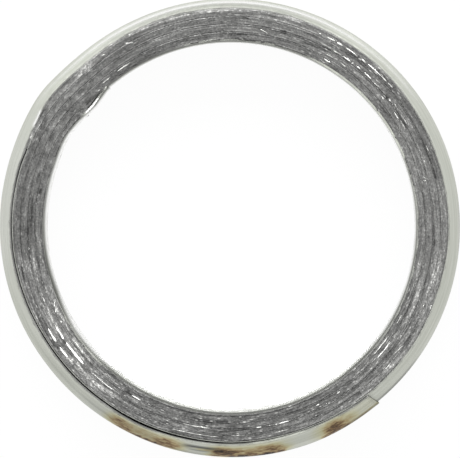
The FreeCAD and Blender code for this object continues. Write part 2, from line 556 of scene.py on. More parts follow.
class Board:
    """Adds nodes to a tree and joins them."""

    def __init__(self, tree: bpy.types.NodeTree) -> None:
        """Takes the tree to work on."""
        self.tree = tree

    def add(self, kind: str, **settings: object) -> bpy.types.Node:
        """A new node with settings such as operation="MULTIPLY".

        Args:
            kind: Type of the node.
            **settings: Values of its properties by name.

        Returns:
            The node.
        """
        node = self.tree.nodes.new(kind)
        for key, value in settings.items():
            setattr(node, key, value)
        return node

    def join(self, source: bpy.types.NodeSocket, target: bpy.types.NodeSocket) -> None:
        """Links an output to an input."""
        self.tree.links.new(source, target)

    def feed(self, socket: bpy.types.NodeSocket, value: object) -> None:
        """Links a socket, or sets a number or colour, on an input.

        Args:
            socket: The input.
            value: An output to link, or a value to set.
        """
        if isinstance(value, bpy.types.NodeSocket):
            self.join(value, socket)
        else:
            socket.default_value = value

    def feed_all(self, node: bpy.types.Node, values: dict) -> bpy.types.Node:
        """Links or sets several inputs of a node by name, and gives the node back.

        Args:
            node: The node.
            values: Outputs or values by the name of the input.

        Returns:
            The same node.
        """
        for name, value in values.items():
            self.feed(node.inputs[name], value)
        return node

    def math(self, operation: str, first: object, second: object = 0.0) -> bpy.types.NodeSocket:
        """The result of a Math node.

        Args:
            operation: What it does, such as ADD.
            first: Number or socket.
            second: Number or socket.

        Returns:
            Its output.
        """
        node = self.add("ShaderNodeMath", operation=operation)
        self.feed(node.inputs[0], first)
        self.feed(node.inputs[1], second)
        return node.outputs[0]

    def span(
        self, value: object, low: float, high: float, to_low: float = 0.0, to_high: float = 1.0
    ) -> bpy.types.NodeSocket:
        """Maps low to high onto to_low to to_high, smoothly and without passing them.

        Args:
            value: Number or socket.
            low: Value that gives to_low.
            high: Value that gives to_high.
            to_low: Result at and before low.
            to_high: Result at and past high.

        Returns:
            The result.
        """
        node = self.add("ShaderNodeMapRange", interpolation_type="SMOOTHSTEP")
        ends = {"From Min": low, "From Max": high, "To Min": to_low, "To Max": to_high}
        return self.feed_all(node, {"Value": value, **ends}).outputs["Result"]

    def blend(
        self, share: object, first: object, second: object, kind: str = "MIX"
    ) -> bpy.types.NodeSocket:
        """Mixes two colours, or multiplies them where kind is MULTIPLY.

        Args:
            share: How much of the second colour, from 0 to 1.
            first: Colour or socket.
            second: Colour or socket.
            kind: MIX or MULTIPLY.

        Returns:
            The colour.
        """
        node = self.add("ShaderNodeMix", data_type="RGBA", blend_type=kind)
        for index, value in ((0, share), (6, first), (7, second)):
            self.feed(node.inputs[index], value)
        return node.outputs[2]

    def attribute(self, name: str, output: str = "Fac") -> bpy.types.NodeSocket:
        """A value stored on the piece."""
        node = self.add("ShaderNodeAttribute", attribute_name=name)
        return node.outputs[output]

    def stretched(self, enter: bpy.types.Node) -> bpy.types.NodeSocket:
        """A group's winding coordinates, divided by its Length along the turns and its Width.

        Args:
            enter: Input node of the group.

        Returns:
            Coordinates in which a patch is one unit long and one unit wide.
        """
        along = self.math("DIVIDE", 1.0, enter.outputs["Length"])
        across = self.math("DIVIDE", 1.0, enter.outputs["Width"])
        scale = self.add("ShaderNodeCombineXYZ")
        for index, value in enumerate((along, along, across)):
            self.join(value, scale.inputs[index])
        spread = self.add("ShaderNodeVectorMath", operation="MULTIPLY")
        self.join(enter.outputs["Lie"], spread.inputs[0])
        self.join(scale.outputs[0], spread.inputs[1])
        return spread.outputs[0]

    def noise(self, vector: object, detail: float, rough: float) -> bpy.types.NodeSocket:
        """Soft noise of scale 1 over the coordinates given."""
        values = {"Vector": vector, "Scale": 1.0, "Detail": detail, "Roughness": rough}
        return self.feed_all(self.add("ShaderNodeTexNoise"), values).outputs["Fac"]

    def ramp(self, value: object, stops: tuple) -> bpy.types.NodeSocket:
        """A colour for a value, from pairs of position and colour.

        Args:
            value: Number or socket.
            stops: The pairs, in rising order of position.

        Returns:
            The colour.
        """
        node = self.add("ShaderNodeValToRGB")
        self.feed(node.inputs[0], value)
        elements = node.color_ramp.elements
        for index in (0, -1):
            elements[index].position, elements[index].color = stops[index]
        for position, colour in stops[1:-1]:
            elements.new(position).color = colour
        return node.outputs[0]

    def bump(self, height: object, strength: float, depth: float) -> bpy.types.NodeSocket:
        """A normal that follows a height, with its depth in millimetres."""
        values = {"Strength": strength, "Distance": depth * MM, "Height": height}
        return self.feed_all(self.add("ShaderNodeBump"), values).outputs[0]

    def place(self, group: bpy.types.NodeTree, **values: object) -> bpy.types.Node:
        """One use of a group, with a number or a socket for each of its inputs by name."""
        return self.feed_all(self.add("ShaderNodeGroup", node_tree=group), values)


def new_group(name: str, inputs: tuple, outputs: tuple) -> tuple:
    """An empty shader node group with its sockets.

    Args:
        name: Name of the group.
        inputs: Pairs of socket name and socket type, with a third number where it has a value.
        outputs: Pairs of socket name and socket type.

    Returns:
        The group, a Board on it, its input node and its output node.
    """
    group = bpy.data.node_groups.new(name, "ShaderNodeTree")
    for title, kind, *value in inputs:
        socket = group.interface.new_socket(title, in_out="INPUT", socket_type=kind)
        if value:
            socket.default_value = value[0]
    for title, kind in outputs:
        group.interface.new_socket(title, in_out="OUTPUT", socket_type=kind)
    board = Board(group)
    return group, board, board.add("NodeGroupInput"), board.add("NodeGroupOutput")


def grain_group() -> bpy.types.NodeTree:
    """Streaks that run along the winding.

    Returns:
        A group with the winding coordinates, a patch's length and width and a contrast as inputs,
        and the grain from 0 to 1 as its output.
    """
    group, board, enter, leave = new_group(
        "winding grain",
        (
            ("Lie", "NodeSocketVector"),
            ("Length", "NodeSocketFloat", 2.0),
            ("Width", "NodeSocketFloat", 0.1),
            ("Contrast", "NodeSocketFloat", 1.0),
        ),
        (("Grain", "NodeSocketFloat"),),
    )
    raw = board.noise(board.stretched(enter), detail=3.0, rough=0.6)
    centred = board.math("SUBTRACT", raw, 0.5)
    strong = board.math("MULTIPLY", centred, enter.outputs["Contrast"])
    board.join(board.math("ADD", strong, 0.5), leave.inputs["Grain"])
    return group


def fleck_group() -> bpy.types.NodeTree:
    """Scattered flecks, such as flakes that catch light, pits or crumbs.

    Returns:
        A group with the winding coordinates, a fleck's length and width and the share of the
        surface that they take as inputs, and a mask of the flecks as its output.
    """
    group, board, enter, leave = new_group(
        "scattered flecks",
        (
            ("Lie", "NodeSocketVector"),
            ("Length", "NodeSocketFloat", 0.4),
            ("Width", "NodeSocketFloat", 0.12),
            ("Share", "NodeSocketFloat", 0.1),
        ),
        (("Mask", "NodeSocketFloat"),),
    )
    cells = board.add("ShaderNodeTexVoronoi")
    board.feed_all(cells, {"Scale": 1.0, "Vector": board.stretched(enter)})
    chance = board.add("ShaderNodeSeparateColor")
    board.join(cells.outputs["Color"], chance.inputs[0])
    picked = board.math("LESS_THAN", chance.outputs[0], enter.outputs["Share"])
    inside = board.span(cells.outputs["Distance"], 0.62, 0.25)
    board.join(board.math("MULTIPLY", picked, inside), leave.inputs["Mask"])
    return group


@dataclass(frozen=True)
class Effects:
    """Node groups that both finishes place."""

    grain: bpy.types.NodeTree
    flecks: bpy.types.NodeTree
    smear: bpy.types.NodeTree

    def grained(
        self, board: Board, lie: object, length: float, width: float, contrast: float
    ) -> bpy.types.NodeSocket:
        """Grain from 0 to 1 in a material, in patches of a length and a width."""
        node = board.place(self.grain, Lie=lie, Length=length, Width=width, Contrast=contrast)
        return node.outputs[0]

    def smeared(self, board: Board, lie: object) -> bpy.types.Node:
        """Smeared graphite in a material, from the values stored on the piece."""
        stored = {name: board.attribute(name.lower()) for name in ("Tone", "Grit", "Drawn")}
        return board.place(self.smear, Lie=lie, **stored)


def new_material(name: str) -> tuple:
    """A material with a Principled shader.

    Args:
        name: Name of the material.

    Returns:
        The material, its board and its shader node.
    """
    material = bpy.data.materials.new(name)
    material.use_nodes = True
    shader = material.node_tree.nodes["Principled BSDF"]
    return material, Board(material.node_tree), shader


# Colour of smeared graphite by its tone.
GRAPHITE_SHADES = (
    (0.0, (0.028, 0.028, 0.027, 1)),
    (0.25, (0.088, 0.088, 0.08536, 1)),
    (0.5, (0.158, 0.158, 0.15326, 1)),
    (0.75, (0.3, 0.3, 0.291, 1)),
    (1.0, (0.8, 0.8, 0.77, 1)),
)
# Grain in smeared graphite: length, width, contrast and the input that scales it.
GRAPHITE_GRAIN = ((3.2, 0.17, 0.75, "Drawn"), (0.55, 0.17, 0.85, "Grit"), (0.26, 0.2, 1.0, ""))


def smear_group(grain: bpy.types.NodeTree) -> bpy.types.NodeTree:
    """Colour of smeared graphite, which both the tape and the smudged steel show.

    Args:
        grain: The group for grain along the winding.

    Returns:
        A group with the winding coordinates, a tone from 0, black, to 1, burnished, the amount of
        grit and how far it is drawn out along the turns as inputs, and a colour and a height as
        outputs.
    """
    group, board, enter, leave = new_group(
        "smeared graphite",
        (
            ("Lie", "NodeSocketVector"),
            ("Tone", "NodeSocketFloat", 0.5),
            ("Grit", "NodeSocketFloat", 1.0),
            ("Drawn", "NodeSocketFloat", 1.0),
        ),
        (("Color", "NodeSocketColor"), ("Height", "NodeSocketFloat")),
    )
    tone, lie = enter.outputs["Tone"], enter.outputs["Lie"]
    for length, width, contrast, scaled_by in GRAPHITE_GRAIN:
        node = board.place(grain, Lie=lie, Length=length, Width=width, Contrast=contrast)
        streaks = board.math("SUBTRACT", node.outputs[0], 0.5)
        if scaled_by:
            streaks = board.math("MULTIPLY", streaks, enter.outputs[scaled_by])
        tone = board.math("ADD", tone, streaks)
    board.join(board.ramp(tone, GRAPHITE_SHADES), leave.inputs["Color"])
    board.join(tone, leave.inputs["Height"])
    return group


@dataclass(frozen=True)
class StainlessFinish:
    """Rolled stainless strip, heat tinted at its welds, smudged with graphite at its edges, and
    with painted highlights and painted shade.
    """

    bare: tuple = (0.56, 0.575, 0.52, 1)
    shade: tuple = (0.48, 0.495, 0.44, 1)
    # Colour of the painted highlights: glints, sheen and the lit bore wall.
    highlight_colour: tuple = (1.0, 1.0, 0.99, 1)
    # Colour of the painted shade, and of darker lines and patches on the flanks.
    shade_and_marks_colour: tuple = (0.05, 0.05, 0.048, 1)
    roughness: float = 0.34
    relief: float = 0.03
    # Layers of grain: length along the turns, width across them and contrast.
    rolled: tuple = (11.0, 0.22, 1.7)
    fine: tuple = (1.2, 0.05, 1.4)
    uneven: tuple = (0.9, 0.3, 1.4)
    patchy: tuple = (1.1, 0.14, 1.6)
    # Heat tint by strength, which the colour of the steel is multiplied by.
    tints: tuple = (
        (0.0, (1.0, 1.0, 1.0, 1)),
        (0.25, (0.93, 0.88, 0.66, 1)),
        (0.45, (0.72, 0.56, 0.34, 1)),
        (0.62, (0.36, 0.22, 0.13, 1)),
        (0.8, (0.12, 0.085, 0.07, 1)),
        (1.0, (0.02, 0.018, 0.018, 1)),
    )

    def material(self, effects: Effects) -> bpy.types.Material:
        """Builds the material.

        Args:
            effects: The shared node groups.

        Returns:
            The material.
        """
        material, board, shader = new_material("stainless strip")
        lie = board.attribute("lie", "Vector")
        rolled = effects.grained(board, lie, *self.rolled)
        fine = effects.grained(board, lie, *self.fine)
        uneven = effects.grained(board, lie, *self.uneven)
        patchy = effects.grained(board, lie, *self.patchy)
        painted_highlight = board.attribute("painted_highlight")
        steel = board.blend(board.span(rolled, 0.25, 0.75), self.shade, self.bare)
        # Painted highlights (glints, sheen and the lit bore wall), blended towards white.
        steel = board.blend(painted_highlight, steel, self.highlight_colour)
        # Painted shade in the fold and between the turns, with darker lines and patches on the
        # flanks.
        steel = board.blend(board.attribute("shade_and_dark_marks"), steel, self.shade_and_marks_colour)
        uneven = board.span(uneven, 0.2, 0.8, 0.76, 1.24)
        scorch = board.math("MULTIPLY", board.attribute("scorch"), uneven)
        tinted = board.blend(1.0, steel, board.ramp(scorch, self.tints), "MULTIPLY")
        mask = board.span(board.math("ADD", board.attribute("smudge"), patchy), 0.85, 1.15)
        smear = effects.smeared(board, lie)
        rough = board.span(fine, 0.2, 0.8, self.roughness - 0.06, self.roughness + 0.08)
        rough = board.math("ADD", rough, board.math("MULTIPLY", mask, 0.15))
        rough = board.math("ADD", rough, board.math("MULTIPLY", painted_highlight, -0.18))
        values = {
            "Base Color": board.blend(mask, tinted, smear.outputs["Color"]),
            "Metallic": board.span(mask, 0, 1, 1.0, 0.3),
            "Roughness": rough,
            "Normal": board.bump(fine, 0.3, self.relief),
        }
        board.feed_all(shader, values)
        return material


@dataclass(frozen=True)
class GraphiteFinish:
    """Pressed graphite, smeared along the turns, burnished in places and torn in others."""

    roughness: float = 0.42
    flake: tuple = (0.60, 0.60, 0.58, 1)
    relief: float = 0.05

    def material(self, effects: Effects) -> bpy.types.Material:
        """Builds the material.

        Args:
            effects: The shared node groups.

        Returns:
            The material.
        """
        material, board, shader = new_material("pressed graphite")
        lie = board.attribute("lie", "Vector")
        smear = effects.smeared(board, lie)
        flecks = board.place(effects.flecks, Lie=lie, Length=0.55, Width=0.17, Share=0.06)
        gritty = board.span(board.attribute("grit"), 0.3, 1.2, 0.1, 0.8)
        flakes = board.math("MULTIPLY", flecks.outputs[0], gritty)
        height = smear.outputs["Height"]
        values = {
            "Base Color": board.blend(flakes, smear.outputs["Color"], self.flake),
            "Metallic": board.span(flakes, 0, 1, 0.3, 0.8),
            "Roughness": board.span(
                height, 0.2, 0.9, self.roughness + 0.12, self.roughness - 0.08
            ),
            "Normal": board.bump(height, 0.5, self.relief),
        }
        board.feed_all(shader, values)
        return material


# Wear of the faces: each mark is measured off once, by its place and size.

# Slivers of the strip's edges that lie bare on the upper face: from azimuth, to azimuth, radius,
# strength and how far the radius changes from one end to the other.
SLIVERS = (
    (43.2, 45.2, 29.91, 0.6, 0), (40.8, 42.7, 29.96, 0.6, 0), (45.2, 50, 29.91, 0.9, 0),
    (50.6, 52.2, 29.89, 0.8, 0), (53.9, 57.2, 29.9, 0.9, 0), (58.2, 60.1, 29.9, 0.8, 0),
    (60.6, 63.1, 29.91, 0.6, 0), (64.7, 65.5, 29.91, 0.7, 0), (43.4, 45.2, 28.58, 0.5, 0),
    (39.9, 41.3, 28.03, 0.7, 0), (38.3, 39.1, 28.57, 0.8, 0), (35.8, 37.3, 28.72, 0.5, 0),
    (33, 35.3, 28.04, 0.7, 0), (30.3, 33.8, 28.63, 0.3, 0), (29.3, 32.3, 28.07, 0.4, 0),
    (21.9, 24.6, 28.61, 0.3, 0), (21.1, 22.9, 29.7, 0.5, 0), (17.3, 19.3, 28.69, 0.6, 0),
    (14.4, 15, 28.05, 0.7, -0.42), (13.5, 14.1, 28.05, 0.6, -0.42), (46.6, 49.2, 28.68, 0.9, 0),
    (50.6, 52.1, 28.69, 0.9, 0), (53.1, 53.6, 28.69, 0.8, 0), (54.1, 56.6, 28.69, 0.9, 0),
    (57.2, 59.8, 28.69, 0.35, 0), (60.4, 64.1, 28.76, 0.35, 0), (54.2, 56.7, 27.74, 0.4, 0),
    (58.2, 61.2, 27.73, 0.4, 0), (58.6, 61, 27.03, 0.8, 0), (78.8, 81.3, 27.83, 0.5, 0.42),
    (117.4, 119.5, 29.42, 0.7, 0.42), (116.5, 117.7, 30.4, 0.7, 0), (128.3, 131.2, 26.89, 0.4, 0),
    (121, 125.6, 26.95, 0.55, 0), (132.9, 134.1, 26.56, 0.3, 0), (125.5, 126.7, 29.93, 0.4, 0.14),
    (215.1, 218.7, 29.16, 1, 0), (208.9, 213.3, 29.16, 0.75, 0), (215.1, 223, 28.04, 1, 0),
    (209.2, 213.9, 28.04, 0.95, 0), (204.3, 208.5, 28.08, 0.4, 0),
    (202.9, 204.3, 26.87, 0.8, 0.28), (204.6, 206, 27.01, 0.8, 0.28),
    (208.7, 209.4, 27.07, 0.6, 0), (200.4, 201.9, 27.97, 0.8, 0), (188.8, 189.5, 27.82, 0.6, 0),
    (185.7, 186.1, 28.33, 0.8, 0), (204.6, 205.2, 29.37, 0.6, 0.28),
    (216.5, 220.7, 27.06, 0.45, 0), (256.5, 264.6, 28.23, 0.6, 0), (254, 267, 29.35, 0.3, 0),
    (239.8, 242.8, 27.23, 0.9, 0), (226.3, 234.4, 28.05, 0.6, 0), (227.8, 233.8, 28.99, 0.35, 0),
    (229.8, 231.8, 26.84, 0.5, 0.14), (283, 287.3, 28.27, 1, 0), (277.5, 279.3, 28.23, 0.8, 0),
    (281.2, 281.8, 28.22, 0.7, 0), (282.7, 286.3, 29.39, 0.35, 0),
    (298.7, 300.8, 28.19, 0.5, 0.28), (302.9, 304.2, 27.62, 0.7, 0), (296, 297.2, 27.63, 0.7, 0),
    (304.7, 306.2, 30.08, 0.5, 0), (318.6, 324.9, 27.49, 0.95, 0), (318.9, 325.8, 26.79, 0.7, 0),
    (330.3, 333.3, 26.87, 0.5, 0), (327.3, 328.3, 28.32, 0.5, 0), (317.7, 320.1, 29.39, 0.5, 0),
    (322.3, 325.9, 29.07, 0.4, 0.28), (337.9, 339.3, 30.17, 0.6, 0), (337.9, 338.7, 29.14, 0.6, 0),
    (339.4, 344.4, 26.87, 0.3, 0),
)
# Dark cracks and torn places in the upper face: from azimuth, to azimuth, radius, half width,
# depth of tone and change of radius.
CRACKS = (
    (70, 97, 30.04, 0.09, 0.2, 0), (190, 203, 29.66, 0.12, 0.3, 0),
    (203, 217, 29.62, 0.12, 0.24, 0), (217, 228, 29.68, 0.14, 0.12, 0),
    (228, 240, 29.58, 0.12, 0.14, 0), (350, 384, 26.75, 0.45, 0.07, 0),
    (96, 108, 26.82, 0.3, 0.18, 0), (39, 40.8, 28.55, 0.21, 0.4, 0),
    (29.7, 35.3, 28.35, 0.1, 0.3, 0), (13.5, 16.8, 29.58, 0.1, 0.4, 0),
    (11.7, 12.9, 27.62, 0.14, 0.25, 0), (0.4, 4, 27.19, 0.11, 0.2, 0),
    (61.3, 69.4, 27.95, 0.11, 0.34, -0.28), (73.9, 75.6, 28.41, 0.25, 0.28, 0),
    (84.5, 90, 27.14, 0.11, 0.3, 0), (73, 90, 26.49, 0.1, 0.3, 0),
    (103.4, 105.9, 30.68, 0.08, 0.3, 0), (90.9, 107.9, 27.88, 0.13, 0.14, 0),
    (90.9, 104.9, 27.46, 0.11, 0.16, 0), (89.9, 99.9, 26.96, 0.11, 0.14, 0),
    (168.1, 169.6, 27.04, 0.2, 0.42, 0), (164, 166.6, 27.77, 0.17, 0.26, 0.14),
    (171.2, 179.6, 27.88, 0.13, 0.26, 0), (205.2, 214.2, 29.72, 0.08, 0.34, 0),
    (190.2, 194.4, 29.73, 0.1, 0.34, 0), (214.1, 215.3, 28.61, 0.7, 0.25, 0),
    (179.6, 188.6, 28.68, 0.63, 0.14, 0), (266, 270, 27.27, 0.15, 0.42, 0),
    (262, 265.4, 27.32, 0.15, 0.42, 0), (258.6, 261.4, 27.28, 0.13, 0.38, 0),
    (229.3, 232.3, 26.26, 0.11, 0.45, 0), (237.8, 239.8, 27.04, 0.13, 0.28, 0),
    (355.4, 357.1, 28.64, 0.11, 0.42, 0), (356.4, 357.9, 27.75, 0.11, 0.34, 0),
    (240, 300, 26.37, 0.08, 0.3, 0), (141.2, 142.2, 26.61, 0.14, 0.35, 0),
    (137.3, 139.1, 26.47, 0.17, 0.4, 0), (5.3, 12.3, 28.94, 0.17, 0.12, 0),
    (20.3, 28.3, 29.04, 0.21, 0.12, 0), (64.1, 70.1, 29.38, 0.28, 0.1, 0),
    (147.7, 152.1, 30.78, 0.06, 0.35, 0), (132.3, 139.2, 26.44, 0.12, 0.3, 0.35),
)
# Pale burnished smears, given as the cracks are.
SMEARS = (
    (190, 203, 29.38, 0.13, 0.14, 0), (190, 216, 29.97, 0.12, 0.13, 0),
    (216, 227, 29.2, 0.17, 0.2, 0), (216, 228, 30.02, 0.12, 0.14, 0),
    (228, 240, 29.87, 0.13, 0.22, 0), (130, 145, 29.8, 0.45, 0.12, 0),
    (132.9, 134.1, 30.13, 0.08, 0.3, -0.7), (131.7, 133.1, 29.99, 0.08, 0.32, -0.84),
    (130.5, 131.9, 29.85, 0.08, 0.34, -0.84), (129.7, 131.1, 29.92, 0.07, 0.26, -0.84),
    (109.8, 113.8, 28.3, 0.11, 0.22, 0.56), (199.7, 210.7, 28.1, 0.22, 0.16, 0),
    (202.7, 212.7, 29.11, 0.22, 0.12, 0), (213.7, 223.7, 28.88, 0.31, 0.14, 0),
    (214.7, 223.7, 27.06, 0.22, 0.2, 0), (225.8, 235.8, 28.96, 0.2, 0.2, 0),
    (225.8, 235.8, 27.12, 0.17, 0.12, 0), (169.6, 170.6, 27.18, 0.1, 0.3, 0.42),
    (176, 176.6, 29.42, 0.11, 0.25, 0), (147.3, 148.2, 28.15, 0.11, 0.3, 0),
    (189.7, 199.7, 28.04, 0.2, 0.1, 0), (315.3, 326.3, 27.19, 0.14, 0.14, 0),
    (314.3, 324.3, 29.28, 0.14, 0.14, 0), (326.3, 334.3, 28.29, 0.17, 0.08, 0),
    (310.8, 315.3, 28.38, 0.11, 0.16, 0), (310.8, 315.3, 29.43, 0.11, 0.16, 0),
    (310.8, 315.3, 27.11, 0.11, 0.12, 0), (170.6, 172, 27.62, 0.11, 0.18, 0),
    (141.7, 143.1, 26.58, 0.17, 0.18, 0), (179.6, 199.6, 27.07, 0.28, 0.06, 0),
    (42, 62, 30.4, 0.12, 0.1, 0), (62, 136, 30.42, 0.14, 0.2, 0), (301, 312, 30.15, 0.16, 0.14, 0),
    (70, 84, 29.74, 0.11, 0.14, 0), (70, 97, 30.42, 0.11, 0.18, 0), (44, 60, 26.75, 0.4, 0.06, 0),
    (76, 88, 29.87, 0.07, 0.1, 0), (288.2, 325.2, 29.58, 0.6, 0.13, 0),
    (345.4, 372.4, 29.75, 0.55, 0.2, 0), (60.1, 84.1, 29.6, 0.4, 0.12, 0),
    (83.9, 133.9, 30.35, 0.3, 0.16, 0), (179.7, 191.7, 29.38, 0.3, 0.1, 0),
    (336.3, 348.3, 29.28, 0.35, 0.1, 0), (149.7, 165.7, 30.49, 0.25, 0.1, 0),
    (167.6, 179.6, 30.5, 0.2, 0.14, 0), (192.7, 203.7, 29.24, 0.35, 0.12, 0),
    (152.3, 153.1, 30.07, 0.45, 0.3, 0), (154.9, 155.9, 30.07, 0.45, 0.28, 0),
    (152.7, 155.7, 30.59, 0.07, 0.28, 0), (82.5, 84, 26.86, 0.1, 0.2, 0),
    (139.3, 141.9, 26.58, 0.18, 0.2, 0), (154, 190, 30.45, 0.15, 0.12, 0),
)


@dataclass
class FaceWear:
    """Tone of the graphite over a sealing face, with its cracks, smears and gritty parts."""

    base: float = 0.43
    unordered: tuple = (128.0, 166.0)
    # Uneven layers: patches round the ring, width of a patch and weight.
    long: tuple = (34, 0.30, 0.26)
    short: tuple = (130, 0.26, 0.24)
    broad: tuple = (18, 1.5, 0.12)
    blotch: tuple = (230, 0.42, 0.34)
    # Pairs of azimuth and amount: how gritty the face is, and how much paler.
    grit_points: tuple = (
        (0, 0.55), (25, 0.6), (50, 1.0), (70, 0.7), (95, 0.6), (135, 0.55), (170, 0.5), (188, 0.8),
        (205, 1.1), (240, 1.4), (262, 1.3), (285, 0.9), (305, 0.9), (325, 1.1), (345, 0.9),
        (360, 0.55),
    )
    tone_points: tuple = (
        (0, 0.01), (40, 0.0), (70, -0.03), (100, 0.0), (125, -0.01), (165, -0.05), (185, 0.0),
        (205, 0.10), (220, 0.13), (235, 0.07), (250, 0.0), (268, -0.07), (290, -0.03), (305, 0.02),
        (325, 0.10), (345, 0.04), (360, 0.01),
    )

    def grit(self, azimuth: np.ndarray) -> np.ndarray:
        """How gritty the face is at an azimuth."""
        return along_table(self.grit_points, azimuth)

    def mixed_up(self, azimuth: np.ndarray) -> np.ndarray:
        """1 over the steps, where the graphite was squeezed every way, and 0 elsewhere."""
        return within(azimuth, *self.unordered, 5.0)

    def drawn(self, azimuth: np.ndarray) -> np.ndarray:
        """How far the graphite is drawn out along the turns, from 0 to 1."""
        return 1 - 0.8 * self.mixed_up(azimuth)

    def both_faces(
        self, azimuth: np.ndarray, radius: np.ndarray, level: np.ndarray
    ) -> np.ndarray:
        """Tone on the sealing face that each point is nearer to."""
        upper, lower = (self.tone(azimuth, radius, below) for below in (False, True))
        return np.where(level > 0, upper, lower)

    def tone(self, azimuth: np.ndarray, radius: np.ndarray, below: bool) -> np.ndarray:
        """Tone from 0, black, to 1, burnished.

        Args:
            azimuth: Azimuth of each point.
            radius: Distance from the ring's axis.
            below: True on the lower face, which has none of the marks of the upper one.

        Returns:
            The tone at each point.
        """
        seed = 300 if below else 200
        mixed_up = self.mixed_up(azimuth) * (not below)
        tone = self.base + along_table(self.tone_points, azimuth)
        for number, layer, amount in (
            (0, self.long, 1 - 0.8 * mixed_up),
            (1, self.short, self.grit(azimuth)),
            (2, self.broad, 1.0),
            (5, self.blotch, mixed_up),
        ):
            cells, width, weight = layer
            uneven = Patchwork(seed + number, cells, width).at(azimuth, radius) - 0.5
            tone = tone + weight * uneven * amount
        if below:
            return tone
        wave = 0.05 * (Patchwork(seed + 3, 300, 0.4).at(azimuth, radius) - 0.5)
        ragged = Patchwork(seed + 4, 420, 0.3).at(azimuth, radius)
        for sign, marks in ((-1.0, CRACKS), (1.0, SMEARS)):
            for start, stop, middle, half, depth, slant in marks:
                share = turned_by(azimuth, start) / (stop - start)
                along = smooth(share, -0.06, 0.08) * smooth(-share, -1.06, -0.92)
                line = middle + slant * (share - 0.5) + wave
                across = np.exp(-(np.abs(radius - line) / (half * 1.15)) ** 2.6)
                tone = tone + sign * depth * along * across * (0.7 + 0.6 * ragged)
        return tone


# How far the graphite is wiped off the innermost edge of the strip, by azimuth.
WIPED = (
    (0, 0.3), (20, 0.35), (26, 0.7), (60, 0.7), (65, 0.3), (104, 0.25), (110, 0.6), (120, 0.6),
    (126, 0.3), (141, 0.3), (148, 0.1), (200, 0.1), (207, 0.35), (226, 0.35), (231, 0.1),
    (318, 0.15), (328, 0.3), (360, 0.3),
)


@dataclass
class Cover:
    """How far smeared graphite hides the strip's edges on the sealing faces."""

    broad: Patchwork = field(default_factory=lambda: Patchwork(11, 40, 1.0))
    short: Patchwork = field(default_factory=lambda: Patchwork(12, 150, 1.0))
    ragged: Patchwork = field(default_factory=lambda: Patchwork(13, 700, 1.0))
    bare: float = 0.34
    wiped_off: float = 0.5
    heaped_up: float = 0.4
    heaped: tuple = (130.0, 164.0)

    def at(self, azimuth: np.ndarray, edge: np.ndarray, below: bool) -> np.ndarray:
        """Cover from 0, bare, to 1, hidden.

        Args:
            azimuth: Where along the ring.
            edge: Number of the strip's turn, whole or between two.
            below: True on the lower sealing face.

        Returns:
            The cover at each place.
        """
        across = edge * TURN_STRIDE + (50.5 if below else 0.5)
        mixed = (
            0.35 * self.broad.at(azimuth, across)
            + 0.45 * self.short.at(azimuth, across)
            + 0.20 * self.ragged.at(azimuth, across)
        )
        if not below:
            mixed = mixed - self.wiped_off * along_table(WIPED, azimuth) * (edge < 0.5)
            mixed = mixed + self.heaped_up * within(azimuth, *self.heaped, 6.0) * (edge > 0.5)
        return smooth(mixed, self.bare - 0.05, self.bare + 0.05)


# The pieces and the studio


@dataclass(frozen=True)
class Patch:
    """A soft oval on the outer flanks of the strip, such as the heat tint beside a spot weld."""

    azimuth: float
    half_length: float
    flank: float
    half_width: float
    strength: float
    sharp: float

    def at(self, azimuth: np.ndarray, flank: np.ndarray) -> np.ndarray:
        """Strength at places given by azimuth and way from the point of the V.

        Args:
            azimuth: Azimuth of each place.
            flank: Its way up the flank, negative below.

        Returns:
            The strength at each place.
        """
        along = turned_by(azimuth, self.azimuth) * math.radians(1) * OUTER_R
        reach = np.hypot(along / self.half_length, (flank - self.flank) / self.half_width)
        return self.strength * np.exp(-(reach**self.sharp))


def patches(*rows: tuple) -> tuple:
    """Patches from rows of their six numbers: the two places each with its half size."""
    return tuple(Patch(*row) for row in rows)


